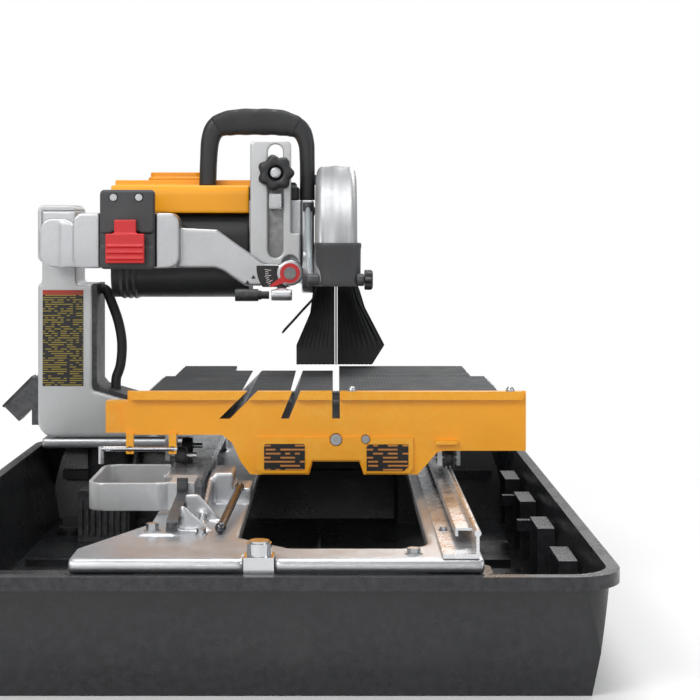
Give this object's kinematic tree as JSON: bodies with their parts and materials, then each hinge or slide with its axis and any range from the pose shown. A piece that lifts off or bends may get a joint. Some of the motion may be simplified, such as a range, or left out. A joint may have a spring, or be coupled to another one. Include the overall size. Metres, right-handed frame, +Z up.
{
  "type": "wet tile saw",
  "caption": "Wet tile saw: black water pan, cast base and rails, rolling cart with yellow fascia, cantilever arm, tilting head with motor, belt drive, guard and diamond blade.",
  "frame": {"origin": "middle of the flat underside of the water pan", "axes": "+X to the operator's right, +Y away from the operator along the cart's travel, +Z up"},
  "size_m": [0.7204, 0.915, 0.568],
  "materials": {
    "black_plastic": "moulded grain, satin",
    "cast_aluminium": "cast, lightly bead blasted",
    "painted_casting": "white-silver powder coat",
    "machined_steel": "machined, bright",
    "chrome": "bright plated",
    "yellow_paint": "gloss paint",
    "yellow_plastic": "semi-gloss moulding",
    "orange_plastic": "semi-gloss moulding",
    "red_plastic": "semi-gloss moulding",
    "rubber": "ribbed rubber",
    "label": null,
    "grey_plastic": "moulded grain",
    "clear_hose": "translucent tube",
    "copper": "enamelled windings",
    "blade_steel": "ground disc with a diamond rim"
  },
  "bodies": {
    "frame": {"water_pan": "black_plastic", "base_frame": "cast_aluminium", "left_rail": "cast_aluminium", "right_rail": "cast_aluminium", "rail_loop": "painted_casting", "rail_brace": "grey_plastic", "stay_rod": "chrome", "front_post": "chrome", "fasteners": "machined_steel", "column": "painted_casting", "column_cap": "painted_casting", "column_trim": "black_plastic", "column_label": "label", "cantilever_arm": "cast_aluminium", "bevel_scale": "label", "switch_box": "grey_plastic", "power_cable": "rubber", "pump": "black_plastic", "supply_hose": "grey_plastic", "receptacle_block": "grey_plastic"},
    "cart": {"cart_table": "cast_aluminium", "table_pads": "rubber", "fascia": "yellow_paint", "fascia_labels": "label", "fascia_screws": "machined_steel", "hex_key": "chrome", "carriage": "machined_steel"},
    "right_wheel_front": {"wheel_front": "grey_plastic"},
    "right_wheel_rear": {"wheel_rear": "grey_plastic"},
    "left_roller_front": {"roller_front": "black_plastic"},
    "left_roller_rear": {"roller_rear": "black_plastic"},
    "left_keeper": {"keeper_roller": "black_plastic"},
    "tilt_bracket": {"bevel_bracket": "machined_steel", "bevel_pointer": "red_plastic", "depth_stud": "machined_steel"},
    "clamp_knob": {"depth_knob": "black_plastic"},
    "saw_head": {"depth_plate": "painted_casting", "motor_housing": "black_plastic", "motor_cover": "yellow_plastic", "vent_cover": "orange_plastic", "gear_housing": "cast_aluminium", "housing_cap": "black_plastic", "carry_handle": "black_plastic", "blade_guard": "cast_aluminium", "guard_collar": "grey_plastic", "nozzle_hose": "clear_hose", "splash_flap": "rubber", "side_wings": "rubber", "stator": "copper", "drive_belt": "rubber", "arbor_bearings": "machined_steel"},
    "arbor": {"arbor_shaft": "machined_steel", "arbor_flanges": "machined_steel", "blade": "blade_steel"},
    "rotor": {"armature": "copper"},
    "paddle": {"switch_paddle": "red_plastic"},
    "plunger": {"lock_plunger": "black_plastic"},
    "water_knob": {"nozzle_knob": "black_plastic"},
    "socket_cap": {"receptacle_cap": "black_plastic"},
    "plug": {"drain_plug": "rubber"}
  },
  "joints": [
    {"name": "cart_slide", "type": "slide", "parent": "frame", "child": "cart", "axis": [0, 1, 0], "range_m": [-0.08, 0.4]},
    {"name": "bevel_tilt", "type": "hinge", "parent": "frame", "child": "tilt_bracket", "pos_m": [0.021, 0.28, 0.3484], "axis": [0, 1, 0], "range_deg": [0, 45], "deforming": ["splash_flap", "side_wings"]},
    {"name": "head_height", "type": "slide", "parent": "tilt_bracket", "child": "saw_head", "axis": [0, 0, 1], "range_m": [-0.012, 0.06]},
    {"name": "clamp_turn", "type": "hinge", "parent": "tilt_bracket", "child": "clamp_knob", "pos_m": [0.0013, 0.278, 0.4793], "axis": [0, 1, 0], "range_deg": [0, 180]},
    {"name": "arbor_spin", "type": "hinge", "parent": "saw_head", "child": "arbor", "pos_m": [0.081, 0.33, 0.3514], "axis": [1, 0, 0], "continuous": true},
    {"name": "rotor_spin", "type": "hinge", "parent": "saw_head", "child": "rotor", "pos_m": [-0.13, 0.375, 0.388], "axis": [1, 0, 0], "continuous": true},
    {"name": "paddle_press", "type": "hinge", "parent": "frame", "child": "paddle", "pos_m": [-0.19, 0.258, 0.396], "axis": [1, 0, 0], "range_deg": [0, 6], "stiffness_Nm_per_rad": 1, "springref_deg": -2.86},
    {"name": "plunger_pull", "type": "slide", "parent": "frame", "child": "plunger", "axis": [-1, 0, 0], "range_m": [0, 0.008], "stiffness_N_per_m": 400, "springref_m": -0.004},
    {"name": "water_knob_turn", "type": "hinge", "parent": "saw_head", "child": "water_knob", "pos_m": [0.12, 0.184, 0.343], "axis": [1, 0, 0], "range_deg": [0, 270]},
    {"name": "socket_cap_lift", "type": "hinge", "parent": "frame", "child": "socket_cap", "pos_m": [-0.38545, 0.444, 0.15661], "axis": [0, 1, 0], "range_deg": [-100, 0]},
    {"name": "drain_pull", "type": "slide", "parent": "frame", "child": "plug", "axis": [0, 0, 1], "range_m": [0, 0.04]},
    {"name": "wheel_front_roll", "type": "hinge", "parent": "cart", "child": "right_wheel_front", "pos_m": [0.205, -0.053, 0.157], "axis": [1, 0, 0], "continuous": true},
    {"name": "wheel_rear_roll", "type": "hinge", "parent": "cart", "child": "right_wheel_rear", "pos_m": [0.205, 0.02, 0.157], "axis": [1, 0, 0], "continuous": true},
    {"name": "roller_front_roll", "type": "hinge", "parent": "cart", "child": "left_roller_front", "pos_m": [-0.09, -0.053, 0.1593], "axis": [1, 0, 0], "continuous": true},
    {"name": "roller_rear_roll", "type": "hinge", "parent": "cart", "child": "left_roller_rear", "pos_m": [-0.09, 0.02, 0.1593], "axis": [1, 0, 0], "continuous": true},
    {"name": "keeper_roll", "type": "hinge", "parent": "cart", "child": "left_keeper", "pos_m": [-0.09, 0.015, 0.1337], "axis": [1, 0, 0], "continuous": true}
  ],
  "couplings": [
    {"joint": "rotor_spin", "follows": "arbor_spin", "ratio": 2}
  ]
}
